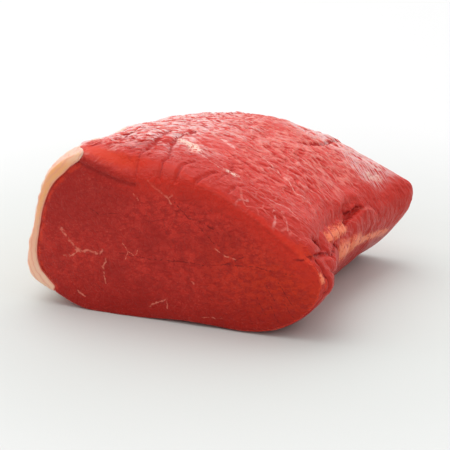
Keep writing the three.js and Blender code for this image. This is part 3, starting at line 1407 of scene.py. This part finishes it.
@dataclass
class FatCap(JointPiece):
    """The cap of fat that lies over the left side of the lean from cut to cut.

    Its brow is the upper edge, through places in Y and X.
    """

    node: str = "fat_cap"
    name: str = "fat_layer"
    slot: str = "beef_fat"
    finish: FatFinish = FatFinish()
    half_length: float = 71.5
    voxel: float = 0.8
    stretch: float = 1.0
    smoothing: int = 4
    growth: float = 0.45
    relief: tuple[Relief, ...] = (
        Relief("fat_swell", Roll.WAVES, (18, 26, 18), 2.2, Area.OUTSIDE, 2, 4.0),
        Relief("fat_lobes", Roll.FOLDS, (9, 14, 9), 1.0, Area.OUTSIDE, 1, 9.0),
        Relief("fat_grain", Roll.WAVES, (3, 4, 3), 0.5, Area.OUTSIDE, 1, 1.0),
        Relief("fat_cut", Roll.WAVES, (3.5, 3.5, 3.5), 0.35, Area.CUTS, 1, 8.0),
    )
    brow: tuple[Place, ...] = ((-71.0, -59.0), (0.0, -56.5), (71.0, -46.0))

    def shape(self, piece: Piece) -> None:
        """Gives the smooth mesh its relief and its uneven upper edge.

        Args:
            piece: The smooth mesh.
        """
        places, normals = read_mesh(piece)
        above = gaps_to("lean", places)
        cut = on_cuts(normals)
        keep_group(piece, Area.OUTSIDE, (1.0 - cut) * smooth_step(above, 1.0, 3.0))
        keep_group(piece, Area.CUTS, cut * smooth_step(above, 0.5, 1.5))
        keep_value(piece, "above_bed", above)
        keep_value(piece, "skin", 1.0 - smooth_step(np.abs(normals[:, 1]), 0.6, 0.9))
        keep_value(piece, "brow", self.near_brow(places, 16.0, 3.0))
        for layer in self.relief:
            layer.carve(piece)
        self.fray(piece)

    def fray(self, piece: Piece) -> None:
        """Lets the upper edge of the fat run unevenly out over the lean.

        Args:
            piece: The mesh, with its relief.
        """
        places, _ = read_mesh(piece)
        x, y, z = places.T
        along = places * (0.0, 1.0, 0.0)
        reach = 3.0 + 5.0 * noise_at(along, (13.0,) * 3, 5.3)
        reach += 3.0 * noise_at(along, (4.0,) * 3, 8.1)
        inward = smooth_step(self.half_length - np.abs(y), 0.0, 10.0)
        front = (y < 0.0) * (1.0 - inward)
        reach = reach * inward + front * 7.0 * np.clip((z - 85.0) / 6.0, 0.0, 1.0)
        near = self.near_brow(places, 12.0, 0.0) * np.maximum(inward, front)
        x += near * reach
        z += near * (0.45 * np.maximum(reach, 0.0) + 0.2)
        places[:, 2] = np.maximum(z, 0.0)
        move_vertices(piece, places)

    def near_brow(self, places: Array, far: float, near: float) -> Array:
        """Tells how near places are to the upper edge of the fat.

        Args:
            places: The places.
            far: The distance across the joint from which on it counts as not near.
            near: The distance down to which it counts as fully near.

        Returns:
            A share from 0 to 1 for each place.
        """
        brow = np.interp(places[:, 1], *np.array(self.brow).T)
        across = smooth_step(places[:, 0] - brow, -far, -near)
        return across * smooth_step(places[:, 2], 50.0, 62.0)


# ---------------------------------------------------------------- the studio


@dataclass(frozen=True)
class SoftLight:
    """A soft square light: its place and width in millimetres, and its power in watts."""

    name: str
    place: Size
    width: float
    power: float

    def hang(self, aim: Size) -> None:
        """Adds the light to the scene.

        Args:
            aim: The place that it points at.
        """
        bpy.ops.object.light_add(type="AREA", location=[value * MM for value in self.place])
        light = bpy.context.object
        light.name = self.name
        light.data.size = self.width * MM
        light.data.energy = self.power
        point_at(light, aim)


@dataclass
class Studio:
    """The floor, the lights and the camera."""

    floor_width: float = 6000.0
    lights: tuple[SoftLight, ...] = (
        SoftLight("window", (-1000.0, 300.0, 2500.0), 3000.0, 46.0),
        SoftLight("filler", (300.0, -2600.0, 1300.0), 1600.0, 6.0),
    )
    light_aim: Size = (0.0, 0.0, 40.0)
    camera_place: Size = (305.5, -811.6, 337.2)
    camera_aim: Size = (22.4, -60.6, 56.6)
    focal_length: float = 126.5
    sensor_width: float = 36.0
    sky_front: float = 0.12
    sky_top: float = 1.12
    finish: FloorFinish = FloorFinish()

    def build(self) -> Piece:
        """Builds the floor, the lights and the camera.

        Returns:
            The floor.
        """
        bpy.ops.object.select_all(action="DESELECT")
        bpy.ops.mesh.primitive_plane_add(size=self.floor_width * MM)
        floor = bpy.context.object
        floor.name = "floor"
        floor.data.materials.append(self.finish.make())
        for light in self.lights:
            light.hang(self.light_aim)
        self.add_camera()
        bpy.context.scene.world = self.make_sky()
        bpy.context.scene.view_settings.view_transform = "Standard"
        return floor

    def make_sky(self) -> bpy.types.World:
        """Makes a white sky that is brighter above and behind than in front.

        Returns:
            The world.
        """
        world = bpy.data.worlds.new("soft_sky")
        world.use_nodes = True
        graph = Graph(world.node_tree)
        _, y, z = graph.split(graph.add("TexCoord").outputs["Generated"])
        ends = {"From Min": -0.6, "To Min": self.sky_front, "To Max": self.sky_top}
        sky = graph.nodes["Background"].inputs
        graph.feed(sky["Color"], (1.0, 1.0, 1.0))
        graph.feed(sky["Strength"], graph.number("MapRange", {"Value": y * 0.5 + z, **ends}))
        return world

    def add_camera(self) -> None:
        """Adds the camera and makes it the scene's own."""
        bpy.ops.object.camera_add(location=[value * MM for value in self.camera_place])
        camera = bpy.context.object
        point_at(camera, self.camera_aim)
        camera.data.lens = self.focal_length
        camera.data.sensor_width = self.sensor_width
        bpy.context.scene.camera = camera


def point_at(thing: Piece, aim: Size) -> None:
    """Turns a light or the camera towards a place in millimetres."""
    way = Vector(aim) * MM - thing.location
    thing.rotation_euler = way.to_track_quat("-Z", "Y").to_euler()


def main() -> None:
    """Builds the joint and the studio, and reports each piece."""
    logging.basicConfig(level=logging.INFO, format="%(name)s: %(message)s")
    for maker in (LeanMuscle(), FatCap(), Studio()):
        piece = maker.build()
        LOG.info("%s has %d faces", piece.name, len(piece.data.polygons))


if __name__ == "__main__":
    main()
